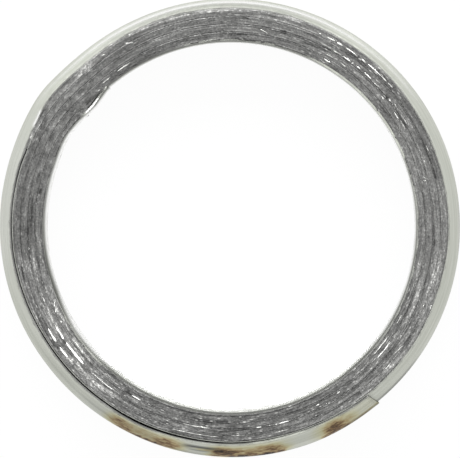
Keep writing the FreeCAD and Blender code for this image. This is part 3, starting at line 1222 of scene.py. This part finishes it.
# Heat tint beside the spot welds: azimuth, half length, way from the point of the V, half width,
# strength and how sharp the edge is.
HEAT = patches(
    (297.8, 2.1, 1.3, 1.6, 0.72, 3.0), (296.2, 1.1, 0.7, 0.6, 0.62, 3.0),
    (298.8, 3.6, 1.5, 1.8, 0.40, 4.0), (296.9, 0.35, 0.0, 0.4, 1.0, 4.0),
    (298.2, 0.5, 0.1, 0.3, 0.86, 4.0), (300.6, 1.2, 0.35, 0.4, 0.74, 3.0),
    (294.9, 1.0, 0.3, 0.4, 0.70, 3.0), (305.6, 4.2, 1.3, 2.6, 0.08, 6.0),
    (305.4, 2.6, 0.42, 0.22, 0.52, 6.0), (309.9, 0.35, 0.3, 0.8, 0.40, 4.0),
    (277.6, 4.6, 1.15, 1.15, 0.50, 6.0), (271.6, 2.2, 1.15, 1.15, 0.50, 6.0),
    (281.4, 1.7, 1.4, 0.95, 0.60, 3.0), (275.2, 1.6, 0.95, 0.45, 0.62, 3.0),
    (268.8, 2.2, 1.3, 1.3, 0.74, 3.0), (282.8, 0.9, 0.35, 0.35, 0.84, 4.0),
    (279.6, 1.6, 0.32, 0.42, 0.90, 6.0), (276.0, 1.5, 0.22, 0.34, 0.92, 6.0),
    (273.2, 1.0, 0.42, 0.40, 0.90, 6.0), (270.6, 1.4, 0.25, 0.35, 0.86, 6.0),
    (277.0, 4.8, 2.3, 0.7, 0.24, 4.0), (267.4, 1.3, 1.68, 0.34, 0.95, 4.0),
    (264.2, 2.4, 1.70, 0.20, 0.50, 6.0), (262.4, 5.6, 0.32, 0.14, 0.80, 8.0),
    (253.4, 2.5, 1.2, 1.3, 0.58, 4.0), (253.2, 1.2, 1.9, 0.32, 0.68, 3.0),
    (253.6, 2.9, 1.4, 1.7, 0.42, 4.0), (247.0, 4.6, 1.5, 1.6, 0.37, 6.0),
    (247.6, 4.6, 0.42, 0.34, 0.60, 6.0), (248.3, 0.5, 0.55, 0.24, 0.97, 4.0),
    (247.2, 0.45, 0.75, 0.26, 0.97, 4.0), (246.2, 0.5, 0.5, 0.22, 0.97, 4.0),
    (250.6, 0.4, 0.4, 0.22, 0.9, 4.0), (243.3, 0.9, 1.1, 0.9, 0.60, 2.0),
    (239.2, 0.8, 1.5, 0.9, 0.60, 2.0), (241.6, 1.5, 0.45, 0.4, 0.66, 2.0),
    (240.6, 1.3, 2.0, 0.4, 0.64, 2.0), (241.0, 2.6, 1.3, 1.7, 0.50, 4.0),
    (270.5, 2.4, 1.70, 0.34, 0.85, 4.0), (266.5, 2.0, 0.35, 0.22, 0.72, 4.0),
    (268.5, 2.5, 2.2, 0.7, 0.34, 4.0), (279.5, 2.6, 1.75, 0.50, 0.52, 4.0),
)
# Painted highlights where the outer flanks gleam, on a long low ridge of the strip.
PAINTED_GLEAM = patches(
    (93.0, 25.0, 1.42, 0.52, 0.8, 4.0), (45.0, 6.0, 1.42, 0.45, 0.3, 4.0),
)
# Where the outer flanks are darker: painted shade, as on the upper half of the north side, and
# darker lines and patches elsewhere.
SHADE_AND_DARK_MARKS = patches(
    (258.6, 1.5, 1.75, 0.30, 0.45, 4.0), (262.6, 3.0, 1.9, 0.24, 1.0, 6.0),
    (262.2, 2.2, 1.2, 0.16, 0.7, 6.0), (259.5, 2.8, 0.45, 0.30, 0.34, 6.0),
    (266.4, 1.5, 1.5, 0.7, 0.3, 4.0), (241.0, 0.7, 1.2, 0.5, 0.12, 4.0),
    (309.7, 0.5, 1.6, 2.2, 0.16, 4.0), (91.0, 26.0, 2.6, 0.75, 0.36, 6.0),
    (92.0, 23.0, 0.75, 0.35, 0.05, 6.0), (246.0, 3.4, 1.4, 1.8, 0.20, 4.0),
    (305.5, 3.6, 0.35, 0.28, 0.62, 6.0), (222.0, 5.0, 1.6, 0.4, 0.16, 4.0),
    (236.0, 5.5, 1.6, 0.4, 0.34, 4.0), (248.0, 4.0, 1.4, 0.5, 0.30, 4.0),
    (240.0, 7.0, 1.5, 1.6, 0.14, 4.0), (314.0, 7.5, 0.35, 0.25, 0.60, 8.0),
    (306.0, 3.3, 0.9, 0.9, 0.10, 4.0),
)


@dataclass
class SteelStrip:
    """The folded strip, from its sprung inner tip to its spot welded outer end."""

    winding: Winding
    wear: FaceWear
    spacing: float = 0.32
    outside: tuple = (
        1.0, 0.965, 0.82, 0.64, 0.5, 0.42, 0.32, 0.16, 0.05, 0.0, -0.05, -0.16, -0.36, -0.5, -0.75,
        -0.965, -1.0,
    )
    inside: tuple = (-1.0, -0.94, -0.88, -0.82, -0.76, -0.7, -0.4, 0.0, 0.5, 1.0)
    # Pairs of azimuth and amount: the dark line of smear colour along the outside bend, how far
    # the painted shade in the fold at the bore is a dark line under its top edge, where that
    # painted shade begins in the fold, and how far, in millimetres, the upper leg of the lap
    # stands open.
    bend_line: tuple = (
        (0, 0), (215, 0), (250, 0.5), (258, 0.62), (285, 0.3), (300, 0.62), (320, 0.66), (330, 0),
        (360, 0),
    )
    fold_shade_lined: tuple = (
        (0, 0.0), (226, 0.0), (238, 1.0), (314, 1.0), (326, 0.0), (360, 0.0),
    )
    fold_shade_from: tuple = (
        (0, 0.7), (30, 0.95), (60, 0.6), (90, 0.45), (110, 0.4), (125, 0.5), (138, 0.6),
        (150, 0.85), (165, 0.85), (185, 0.7), (200, 0.4), (213, 0.85), (225, 0.6), (232, 0.3),
        (360, 0.7),
    )
    lap_open: tuple = (
        (154, 0), (162, 0.04), (176, 0.05), (190, 0.09), (215, 0.12), (228, 0.14), (238, 0.17),
        (246, 0.25), (254, 0.21), (262, 0.16), (270, 0.12), (278, 0.07), (288, 0),
    )
    burr: float = 0.04
    burr_tilt: float = 0.03
    tip_length: float = 14.0
    lap_run: float = 156.0
    lap_clear: float = 2.5
    heated_run: float = 125.0
    end_run: float = 4.0
    crease_level: float = 0.5
    crease_rise: float = 0.04
    sliver_thick: float = 0.03
    sliver_half: float = 0.1
    sliver_spacing: float = 0.16
    sliver_proud: float = 0.012
    # Pairs of azimuth and how many times as wide the slivers are there.
    sliver_wide: tuple = (
        (0, 1.0), (204, 1.1), (210, 2.0), (222, 2.1), (228, 1.3), (240, 1.0), (360, 1.0),
    )

    # From and to azimuth: the free tip, bare and with a painted highlight on its edge, the painted
    # glint streak, the painted sheen past the last step, the rim of the lap and its brighter part.
    tip_bare_and_lit: tuple = (135.2, 141.4)
    painted_glint: tuple = (148.0, 152.5)
    painted_gleam: tuple = (155.0, 190.0)
    rim: tuple = (250.0, 301.0)
    rim_bright: tuple = (276.0, 290.0)
    # Middle and half width, as levels in the V, of the dark line along the bend and of the painted
    # glint streak.
    bend_line_level: tuple = (0.09, 0.06)
    painted_glint_level: tuple = (0.96, 0.09)
    # How much of the V's height is seen at the bore: mean, swing and azimuth where it is least.
    bore_seen: tuple = (0.235, 0.105, 57.0)
    # Steps in the pattern from one side of the strip to the other and from turn to turn.
    side_shift: float = 11.0
    turn_shift: float = 23.0

    def turn_number(self, course: Course) -> np.ndarray:
        """Turns walked at each station, counted from the first step zone."""
        return (course.angle - TURN_MARK) / WHOLE_TURN

    def last_turn(self, course: Course) -> np.ndarray:
        """From 0 on the inner turns to 1 on the turn and the lap that show outside."""
        whole = self.winding.tape_turns
        return smooth(self.turn_number(course), whole - 0.05, whole + 0.02)

    def build(self) -> bpy.types.Object:
        """Makes the mesh and its stored values.

        Returns:
            The strip.
        """
        course = Course(self.winding.strip_bends(), self.spacing)
        level = np.array(self.outside + self.inside)
        outer = np.array([1.0] * len(self.outside) + [0.0] * len(self.inside))
        points = course.place(self.offsets(course, level, outer), self.heights(course, level))
        self.shear_end(course, points)
        corners = (0, len(self.outside) - 1, len(self.outside), len(level) - 1)
        strip = swept_piece("folded_strip", points, corners)
        self.store(strip, course, points, level, outer)
        slivers = [self.sliver(number, mark) for number, mark in enumerate(SLIVERS)]
        with bpy.context.temp_override(
            active_object=strip, selected_editable_objects=[strip] + slivers
        ):
            bpy.ops.object.join()
        return strip

    def offsets(self, course: Course, level: np.ndarray, outer: np.ndarray) -> np.ndarray:
        """Offset of each point, with what pressing and wear did to the strip.

        Args:
            course: Stations of the strip.
            level: Level of each point of the section.
            outer: 1 outside the V and 0 inside it, for each point of the section.

        Returns:
            Offsets, stations by section points.
        """
        winding = self.winding
        count = len(course.angle)
        offset = np.tile(winding.depth(level) + outer * winding.strip_r, (count, 1))
        offset += winding.lean(course.azimuth[:, None], course.distance[:, None], level[None, :])
        on_lap = course.angle > course.angle[-1] - self.lap_run
        opened = along_table(self.lap_open, course.azimuth) * on_lap
        offset += opened[:, None] * smooth(level, 0.4, 1.0)[None, :]
        ridge = np.interp(np.abs(level), (0.0, self.crease_level, 1.0), (0.0, 1.0, 0.0))
        offset += self.crease_rise * ridge * outer * self.last_turn(course)[:, None]
        near_tip = course.length < self.tip_length
        offset += (along_table(winding.tip_bent, course.azimuth) * near_tip)[:, None]
        return offset

    def heights(self, course: Course, level: np.ndarray) -> np.ndarray:
        """Height of each point, with the corners of the sheared edges worn unevenly.

        Args:
            course: Stations of the strip.
            level: Level of each point of the section.

        Returns:
            Heights, stations by section points.
        """
        z = np.tile(self.winding.height / 2 * (1 + level), (len(course.angle), 1))
        buried = 1 - 0.7 * self.last_turn(course)
        across = np.floor(self.turn_number(course)) * TURN_STRIDE + 0.5
        for seed, at_top in ((21, True), (22, False)):
            low = Patchwork(seed, 520, 1.0).at(course.azimuth, across)
            tilt = Patchwork(seed + 10, 260, 1.0).at(course.azimuth, across) - 0.5
            for column, side in self.edge_columns(at_top):
                drop = self.burr * buried * low + self.burr_tilt * tilt * side
                drop = np.clip(drop, 0.0, None)
                z[:, column] += -drop if at_top else drop
        return z

    def edge_columns(self, at_top: bool) -> tuple:
        """Section points at the two corners of one sheared edge, with which side they are on.

        Args:
            at_top: True for the edge on the upper face.

        Returns:
            Pairs of section point and side, 1 for the outer side and -1 for the inner one.
        """
        outer_last = len(self.outside) - 1
        if at_top:
            return ((0, 1), (outer_last + len(self.inside), -1))
        return ((outer_last, 1), (outer_last + 1, -1))

    def shear_end(self, course: Course, points: np.ndarray) -> None:
        """Leans the outer end, which is sheared out of square.

        Args:
            course: Stations of the strip.
            points: Its points, which are moved in place.
        """
        left = course.length[-1] - course.length
        share = smooth(-left, -self.end_run, 0.0)[:, None]
        slope = math.tan(math.radians(self.winding.end_skew))
        lean = -slope * (points[..., 2] - self.winding.height / 2) * share
        across = np.stack([-course.way[:, 1], course.way[:, 0]], axis=1)
        points[..., :2] += across[:, None, :] * lean[..., None]

    def store(
        self,
        piece: bpy.types.Object,
        course: Course,
        points: np.ndarray,
        level: np.ndarray,
        outer: np.ndarray,
    ) -> None:
        """Stores the winding coordinates, the heat tint, the smudges, the painted highlights and
        the painted shade.

        Args:
            piece: The strip.
            course: Its stations.
            points: Its points.
            level: Level of each point of the section.
            outer: 1 outside the V and 0 inside it, for each point of the section.
        """
        half = math.hypot(self.winding.height / 2, self.winding.vee_depth)
        turn = np.floor(self.turn_number(course))[:, None]
        across = level * half + outer * self.side_shift + turn * self.turn_shift
        azimuth, radius = polar(points)
        flank = np.broadcast_to(level * half, azimuth.shape)
        walked, last = course.angle[:, None], course.angle[-1]
        heated = (walked > last - self.heated_run) * (outer > 0.5)
        shown = self.last_turn(course)[:, None] * outer
        near_edge = smooth(np.abs(level), 0.90, 1.0)
        bore_side = (1 - outer) * (turn < 1) * (level < 0)
        # Painted shade deep in the fold on the bore side, where the upper leg shades the lower
        # one.
        fold_shade = self.fold_shade(azimuth, level) * bore_side
        on_lap = walked > last - self.lap_run
        rim = within(azimuth, *self.rim, 2.0) * on_lap * (level > 0.99)
        rim = rim * (0.3 + 0.35 * within(azimuth, *self.rim_bright, 2.0))
        under = walked + WHOLE_TURN
        lapped = (under > last - self.lap_run) & (under < last - self.lap_clear)
        # Painted shade between the lap and the turn under it, lighter at the lap's rim.
        between = (1 - outer) * on_lap * (1 - 0.8 * rim)
        between = between + outer * lapped * (np.abs(level) < 0.99)
        # Painted shade and darker lines and patches on the flanks, joined with the painted shade
        # in the fold and under the lap.
        shade_and_dark_marks = self.strongest(SHADE_AND_DARK_MARKS, azimuth, flank) * shown
        shade_and_dark_marks = np.maximum(shade_and_dark_marks, np.maximum(0.8 * fold_shade, between))
        innermost = (self.turn_number(course) < 0.9)[:, None]
        # The free tip: bare of graphite, with a painted highlight along its edge.
        tip = within(azimuth, *self.tip_bare_and_lit, 0.8) * innermost
        wiped = along_table(WIPED, azimuth) * innermost * (level > 0)
        smudge = 0.75 * near_edge * (1 - 0.35 * shown) * (1 - bore_side)
        smudge = smudge * (1 - np.maximum(tip * (1 - 0.6 * outer), 0.85 * wiped))
        # A dark line of smear colour along the outside bend.
        bend_line = along_table(self.bend_line, azimuth) * shown * bell(level, *self.bend_line_level)
        # A painted glint streak on the flank.
        painted_glint = within(azimuth, *self.painted_glint, 0.5) * shown * bell(level, *self.painted_glint_level)
        # Painted sheen on the outer flanks.
        painted_gleam = 0.1 * within(azimuth, *self.painted_gleam, 6.0) + self.strongest(PAINTED_GLEAM, azimuth, flank)
        # Painted highlights: the lit bore wall below the painted shade in its fold, the glint
        # streak, the sheen and the tip's edge.
        painted_highlight = (1 - fold_shade) * bore_side + painted_glint + painted_gleam * shown
        painted_highlight = painted_highlight + tip * near_edge * (1 - 0.5 * outer)
        tone = self.wear.both_faces(azimuth, radius, level)
        values = {
            "scorch": self.strongest(HEAT, azimuth, flank) * heated,
            "shade_and_dark_marks": np.clip(shade_and_dark_marks, 0, 1),
            "smudge": np.maximum(smudge * (1 - rim), bend_line),
            "painted_highlight": np.clip(painted_highlight, 0, 1),
            "tone": tone - 0.08 + 0.12 * innermost * (level > 0),
            "grit": self.wear.grit(azimuth),
            "drawn": self.wear.drawn(azimuth),
        }
        give_all(piece, points, across, values)

    def strongest(self, marks: tuple, azimuth: np.ndarray, flank: np.ndarray) -> np.ndarray:
        """The strongest of several patches at each point.

        Args:
            marks: The patches.
            azimuth: Azimuth of each point.
            flank: Its way up the flank, negative below.

        Returns:
            The strength at each point.
        """
        found = np.zeros(azimuth.shape)
        for patch in marks:
            found = np.maximum(found, patch.at(azimuth, flank))
        return found

    def fold_shade(self, azimuth: np.ndarray, level: np.ndarray) -> np.ndarray:
        """Painted shade in the fold on the bore side, from 0 at the lower edge to 1 deep in the
        fold.

        Args:
            azimuth: Azimuth of each point.
            level: Level of each point in the V.

        Returns:
            The painted shade at each point.
        """
        mean, swing, least = self.bore_seen
        span = mean - swing * np.cos(np.radians(azimuth - least))
        climbed = (level + 1) / span
        even = smooth(climbed - along_table(self.fold_shade_from, azimuth), -0.5, 0.5)
        # A lighter grey on the lower wall and a dark painted shadow line just under the top edge.
        lined = 0.55 * smooth(climbed, -0.2, 0.15) + 0.6 * smooth(climbed, 0.55, 0.75)
        return even + (lined - even) * along_table(self.fold_shade_lined, azimuth)

    def sliver(self, number: int, mark: tuple) -> bpy.types.Object:
        """A thin piece of the strip's edge, torn and pressed flat on the upper face.

        Args:
            number: Its number in the list.
            mark: Its row of SLIVERS.

        Returns:
            A closed thin lens, to be joined to the strip.
        """
        start, stop, middle, strength, slant = mark
        length = math.radians(stop - start) * middle
        count = max(5, math.ceil(length / self.sliver_spacing))
        share = np.linspace(0, 1, count)
        azimuth = start + share * (stop - start)
        wave = Patchwork(500 + number, 260, 1.0).at(azimuth, 0.5) - 0.5
        width = Patchwork(600 + number, 420, 1.0).at(azimuth, 0.5)
        taper = np.sqrt(np.clip(1 - np.abs(2 * share - 1) ** 4, 0.02, 1))
        half = self.sliver_half * (0.5 + 0.65 * width) * taper * (0.75 + 0.45 * strength)
        half *= along_table(self.sliver_wide, azimuth)
        radius = middle + slant * (share - 0.5) + 0.07 * wave
        top = self.winding.height + self.sliver_proud
        across = np.array([-1.0, -0.55, 0.55, 1.0, 0.55, -0.55])
        rise = np.array([-0.5, 0.0, 0.0, -0.5, -1.0, -1.0])
        turned = np.radians(azimuth)[:, None]
        reach = radius[:, None] + half[:, None] * across
        z = top + self.sliver_thick * rise + np.zeros_like(reach)
        points = np.stack([reach * np.cos(turned), reach * np.sin(turned), z], axis=2)
        piece = swept_piece(f"sliver_{number}", points, ())
        values = {
            "scorch": 0.0,
            "smudge": 0.90 - 0.78 * strength,
            "shade_and_dark_marks": 0.0,
            # Painted glint on the sliver's bare steel.
            "painted_highlight": 0.25 + 0.5 * strength,
            "tone": 0.7,
            "grit": 1.0,
            "drawn": 1.0,
        }
        give_all(piece, points, reach, values)
        return piece


@dataclass
class GraphiteTape:
    """The tape between the turns, pressed proud and smeared over the strip's edges."""

    winding: Winding
    wear: FaceWear
    cover: Cover
    spacing: float = 0.25
    face: tuple = (0.0, 0.1, 0.24, 0.38, 0.52, 0.66, 0.8, 0.92, 1.0)
    lip: float = 0.145
    top: float = 4.955
    neck: float = 4.93
    edge_share: float = 0.12
    height_share: float = 0.4
    lip_top: float = 4.99
    lip_rise: float = 0.02
    lip_shadow: float = 0.6
    shadow_depth: float = 0.11
    fine_relief: float = 0.035
    long_relief: float = 0.04
    bare_sunk: float = 0.05
    covered_rise: float = 0.035
    squeezed_run: float = 26.0
    crumb_at: float = 140.9
    crumb_half: float = 1.5
    crumb_rise: float = 0.2
    tongue_rise: float = 0.19
    thinnest: float = 0.02

    def inner_offset(self, course: Course) -> np.ndarray:
        """Offset of the tape's inner side, which the turns below squeeze at its two ends.

        Args:
            course: Stations of the tape.

        Returns:
            The offset at each station.
        """
        winding = self.winding
        plain = -winding.seat_gap - winding.tape_thick
        inner = np.full(len(course.angle), plain)
        head, tail = winding.squeezing_bends()
        reach = winding.strip_r + winding.seat_gap
        start, stop = winding.tape_start + WHOLE_TURN, course.angle[-1]
        bent = along_table(winding.tip_bent, course.azimuth)
        crumb = np.exp(-((turned_by(course.azimuth, self.crumb_at) / self.crumb_half) ** 4))
        for index, angle in enumerate(course.angle):
            at_head = angle < start + self.squeezed_run
            if not at_head and angle <= stop - self.squeezed_run:
                continue
            found = [
                bend.meets(course.centre[index], course.way[index], reach)
                for bend in (head if at_head else tail)
            ]
            found = [distance for distance in found if not math.isnan(distance)]
            if not found:
                continue
            gap = max(found) - course.radius[index]
            if at_head:
                gap += bent[index] - self.crumb_rise * crumb[index]
            if angle < start:
                gap += self.tongue_rise
            inner[index] = max(gap, plain - winding.tape_spare)
        return np.minimum(inner, -winding.seat_gap - self.thinnest)

    def side(self, base: np.ndarray, levels: tuple) -> list:
        """Points down or up one side of the tape.

        Args:
            base: Offset of that side at the sealing faces.
            levels: Levels of the points, from -1 to 1.

        Returns:
            Rows of offset, height, level and shadow, which is 0 here.
        """
        rows = []
        for level in levels:
            depth = float(self.winding.depth(np.array(level)))
            height = self.winding.height / 2 * (1 + level)
            rows.append((base + depth, np.full_like(base, height), level, 0.0))
        return rows

    def build(self) -> bpy.types.Object:
        """Makes the mesh and its stored values.

        Returns:
            The tape.
        """
        winding = self.winding
        course = Course(winding.tape_bends(), self.spacing)
        inner = self.inner_offset(course)[:, None]
        outer = np.full_like(inner, -winding.seat_gap)
        edge = np.floor((course.angle - TURN_MARK) / WHOLE_TURN)[:, None]
        azimuth = course.azimuth[:, None]
        upper = self.sealing_face(azimuth, edge, inner, outer, False)
        lower = self.sealing_face(azimuth, edge, inner, outer, True)
        neck = self.neck / winding.height * 2 - 1
        levels = (neck, 0.5, 0.0, -0.5, -neck)
        ring = upper + self.side(outer, levels)
        ring += lower[::-1] + self.side(inner, levels[::-1])
        offset, z = (np.concatenate([row[part] for row in ring], axis=1) for part in (0, 1))
        level, shadow = (np.array([row[part] for row in ring])[None, :] for part in (2, 3))
        reach = course.distance[:, None] + offset - winding.depth(level)
        offset = offset + winding.lean(azimuth, reach, level)
        points = course.place(offset, z)
        piece = swept_piece("pressed_tape", points, ())
        turned, distance = polar(points)
        shadow = shadow * (1 - 0.85 * self.wear.mixed_up(turned))
        tone = self.wear.both_faces(turned, distance, level) - self.shadow_depth * shadow
        values = {
            "tone": tone,
            "grit": self.wear.grit(turned),
            "drawn": self.wear.drawn(turned),
        }
        give_all(piece, points, distance + points[..., 2] * self.height_share, values)
        return piece

    def sealing_face(
        self,
        azimuth: np.ndarray,
        edge: np.ndarray,
        inner: np.ndarray,
        outer: np.ndarray,
        below: bool,
    ) -> list:
        """Points across the tape on one sealing face, from its inner lip to its outer lip.

        Args:
            azimuth: Azimuth of each station.
            edge: Number of the strip's turn over the tape.
            inner: Offset of the tape's inner side.
            outer: Offset of its outer side.
            below: True for the lower face.

        Returns:
            Rows of offset, height, level and shadow, which grows towards the tape's sides.
        """
        seed, level = (60, -1.0) if below else (40, 1.0)
        fine = Patchwork(seed, 640, 0.12)
        long = Patchwork(seed + 1, 160, 0.16)
        inner_cover = self.cover.at(azimuth, edge - 1, below)
        outer_cover = self.cover.at(azimuth, edge, below)
        inner_lip = (inner - self.lip * inner_cover, self.lip_top + self.lip_rise * inner_cover)
        outer_lip = (outer + self.lip * outer_cover, self.lip_top + self.lip_rise * outer_cover)
        rows = [(*inner_lip, self.lip_shadow)]
        for share in self.face:
            across = edge * 3.1 + share * 0.8 + 5.0
            relief = self.fine_relief * (fine.at(azimuth, across) - 0.5)
            relief = relief + self.long_relief * (long.at(azimuth, across) - 0.5)
            side = max(0.0, 1 - min(share, 1 - share) / self.edge_share)
            near = inner_cover if share < 0.5 else outer_cover
            sunk = side * (self.covered_rise * near - self.bare_sunk * (1 - near))
            rows.append((inner + (outer - inner) * share, self.top + relief + sunk, side))
        rows.append((*outer_lip, self.lip_shadow))
        height = self.winding.height
        return [(offset, height - z if below else z, level, shadow) for offset, z, shadow in rows]


@dataclass
class Studio:
    """Floor, lamps and camera of the photograph."""

    focal_px: float = 1785.0
    image_width: float = 460.0
    distance: float = 252.0
    lean: float = 3.2
    lean_towards: float = 60.0
    aim: tuple = (-0.016, -0.177, 2.5)
    sensor: float = 36.0
    floor_half: float = 1500.0
    floor_below: float = 0.04
    floor_glow: float = 0.95
    surround: float = 0.74

    def camera(self) -> None:
        """Sets the camera over the ring, leaning a little from the vertical."""
        data = bpy.data.cameras.new("camera")
        data.sensor_width = self.sensor
        data.lens = self.sensor * self.focal_px / self.image_width
        data.clip_start, data.clip_end = 0.01, 10.0
        camera = bpy.data.objects.new("camera", data)
        bpy.context.scene.collection.objects.link(camera)
        lean = math.radians(self.lean)
        side = ray(self.lean_towards) * math.sin(lean)
        back = Vector((side[0], side[1], math.cos(lean)))
        right = Vector((0.0, 1.0, 0.0)).cross(back).normalized()
        turned = Matrix((right, back.cross(right), back)).transposed()
        camera.location = (Vector(self.aim) + back * self.distance) * MM
        camera.rotation_mode = "QUATERNION"
        camera.rotation_quaternion = turned.to_quaternion()
        bpy.context.scene.camera = camera

    def floor(self) -> None:
        """A white floor that keeps a faint shadow."""
        mesh = bpy.data.meshes.new("floor")
        half, below = self.floor_half * MM, self.floor_below * MM
        signs = ((-1, -1), (1, -1), (1, 1), (-1, 1))
        corners = [(x * half, y * half, -below) for x, y in signs]
        mesh.from_pydata(corners, [], [(0, 1, 2, 3)])
        floor = bpy.data.objects.new("floor", mesh)
        bpy.context.scene.collection.objects.link(floor)
        material, board, shader = new_material("white floor")
        shader.inputs["Base Color"].default_value = (0.9, 0.9, 0.9, 1)
        shader.inputs["Roughness"].default_value = 0.9
        path = board.add("ShaderNodeLightPath")
        seen = path.outputs["Is Camera Ray"]
        for other in ("Is Glossy Ray", "Is Transmission Ray"):
            seen = board.math("MAXIMUM", seen, path.outputs[other])
        glow = board.add("ShaderNodeEmission")
        glow.inputs["Strength"].default_value = 1.0
        mixer = board.add("ShaderNodeMixShader")
        board.join(board.math("MULTIPLY", seen, self.floor_glow), mixer.inputs[0])
        board.join(shader.outputs[0], mixer.inputs[1])
        board.join(glow.outputs[0], mixer.inputs[2])
        out = material.node_tree.nodes["Material Output"]
        board.join(mixer.outputs[0], out.inputs["Surface"])
        mesh.materials.append(material)

    def lamp(self, name: str, place: tuple, size: tuple, watts: float) -> None:
        """An oblong soft lamp that faces the ring.

        Args:
            name: Name of the lamp.
            place: Where it stands, in metres.
            size: Its width and height, in metres.
            watts: Power.
        """
        data = bpy.data.lights.new(name, "AREA")
        data.shape = "RECTANGLE"
        data.size, data.size_y = size
        data.energy = watts
        lamp = bpy.data.objects.new(name, data)
        bpy.context.scene.collection.objects.link(lamp)
        lamp.location = place
        lamp.rotation_mode = "QUATERNION"
        lamp.rotation_quaternion = Vector(place).to_track_quat("Z", "Y")

    def world(self) -> None:
        """An even pale surround."""
        world = bpy.data.worlds.new("surround")
        world.use_nodes = True
        bpy.context.scene.world = world
        background = world.node_tree.nodes["Background"]
        background.inputs["Color"].default_value = (1, 1, 1, 1)
        background.inputs["Strength"].default_value = self.surround

    def build(self) -> None:
        """Sets up the studio."""
        self.camera()
        self.floor()
        self.world()
        self.lamp("north softbox", (-0.03, 0.62, 0.2), (1.3, 0.35), 13.0)
        self.lamp("overhead softbox", (-0.05, -0.1, 0.9), (0.3, 0.3), 0.8)
        bpy.context.scene.view_settings.view_transform = "Standard"


def dress(
    piece: bpy.types.Object, material: bpy.types.Material, node: Node
) -> None:
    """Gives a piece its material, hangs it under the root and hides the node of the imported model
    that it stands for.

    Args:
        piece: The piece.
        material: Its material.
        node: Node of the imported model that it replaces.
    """
    piece.data.materials.append(material)
    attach(piece, "root")
    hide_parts(node.value)
    LOG.info("%s: %d faces", piece.name, len(piece.data.polygons))


def main() -> None:
    """Builds the gasket and the studio in order."""
    logging.basicConfig(level=logging.INFO, format="%(name)s %(message)s")
    winding = Winding()
    wear = FaceWear()
    grain = grain_group()
    effects = Effects(grain, fleck_group(), smear_group(grain))
    dress(
        SteelStrip(winding, wear).build(),
        StainlessFinish().material(effects),
        Node.STRIP,
    )
    dress(
        GraphiteTape(winding, wear, Cover()).build(),
        GraphiteFinish().material(effects),
        Node.TAPE,
    )
    Studio().build()


if __name__ == "__main__":
    main()
